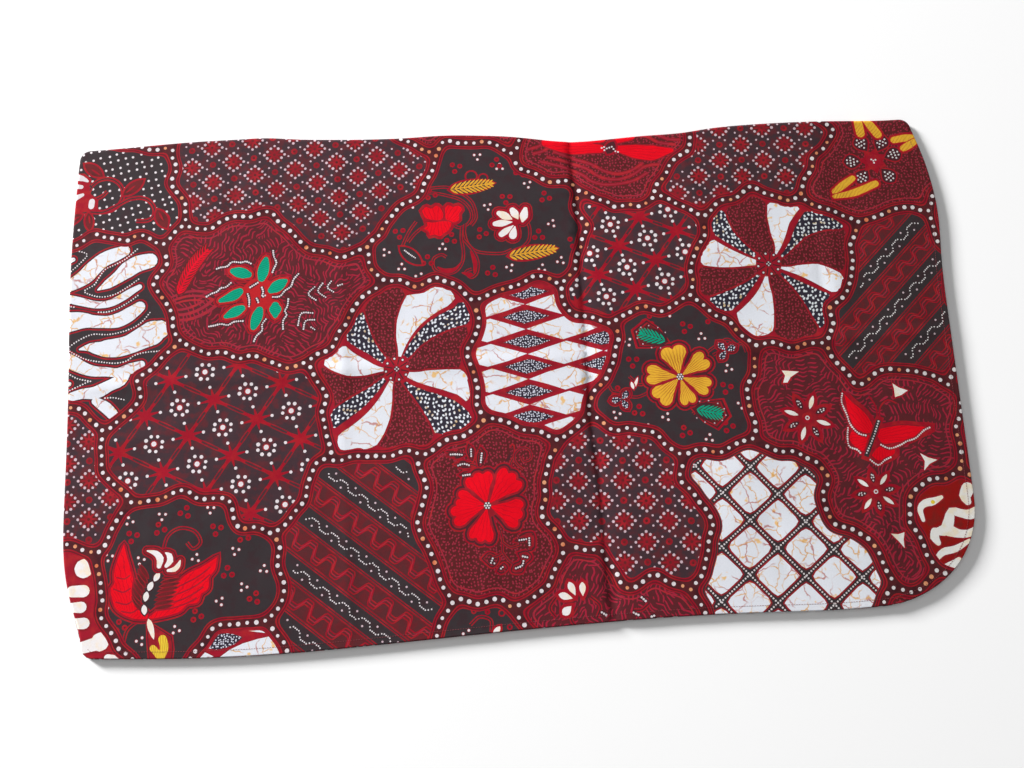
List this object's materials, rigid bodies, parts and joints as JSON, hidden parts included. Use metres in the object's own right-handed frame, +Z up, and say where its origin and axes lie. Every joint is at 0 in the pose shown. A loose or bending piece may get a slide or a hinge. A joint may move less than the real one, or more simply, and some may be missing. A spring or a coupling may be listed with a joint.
{
  "type": "folded batik sarong",
  "caption": "Batik cotton sarong cloth with rounded corners, folded in quarters and lying flat, printed with a patchwork of traditional motifs.",
  "frame": {"origin": "centre of the folded packet's box, on the surface that it lies on", "axes": "+X along the packet's width, away from its left fold; +Y towards its top fold; +Z up"},
  "size_m": [1.0108, 0.5938, 0.0092],
  "materials": {
    "printed_cotton": "wax-resist printed cotton, matt with a slight sheen",
    "hem_cotton": "the same cotton, turned under"
  },
  "bodies": {
    "root": {"top_panel": "printed_cotton", "under_plies": "printed_cotton", "turned_hem": "hem_cotton"}
  },
  "joints": []
}
